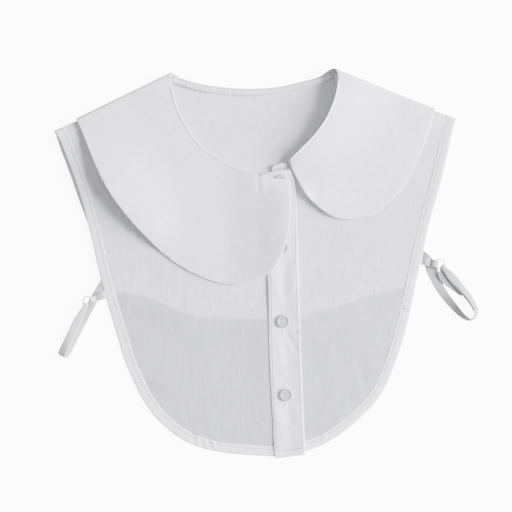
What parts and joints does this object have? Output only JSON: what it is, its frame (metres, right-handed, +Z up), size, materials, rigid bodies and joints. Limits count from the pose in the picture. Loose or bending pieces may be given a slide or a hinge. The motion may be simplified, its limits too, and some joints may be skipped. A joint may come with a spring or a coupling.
{
  "type": "false collar",
  "caption": "Sleeveless cotton half-shirt with a lopsided flat collar, button placket, bias bands and elastic side loops, laid flat on its back.",
  "frame": {"origin": "middle of the garment's box, on the surface that it lies on", "axes": "+Z up off that surface, +Y towards the neck, +X to the right as seen from above"},
  "size_m": [0.3815, 0.3505, 0.0144],
  "materials": {
    "cotton": "plain weave, matt",
    "trim": "folded plain weave with a row of stitches",
    "elastic": "ribbed narrow elastic",
    "resin": "satin, slightly milky"
  },
  "bodies": {
    "root": {"back_panel": "cotton", "front_left": "cotton", "front_right": "cotton", "collar": "cotton", "placket": "trim", "band_left": "trim", "band_right": "trim", "binding_neck": "trim", "binding_placket": "trim", "binding_stand": "trim", "button_1": "resin", "button_2": "resin", "button_3": "resin", "button_4": "resin", "strap_left": "elastic", "strap_right": "elastic", "tab_left": "elastic", "tab_right": "elastic", "ring_left": "resin", "ring_right": "resin"}
  },
  "joints": []
}
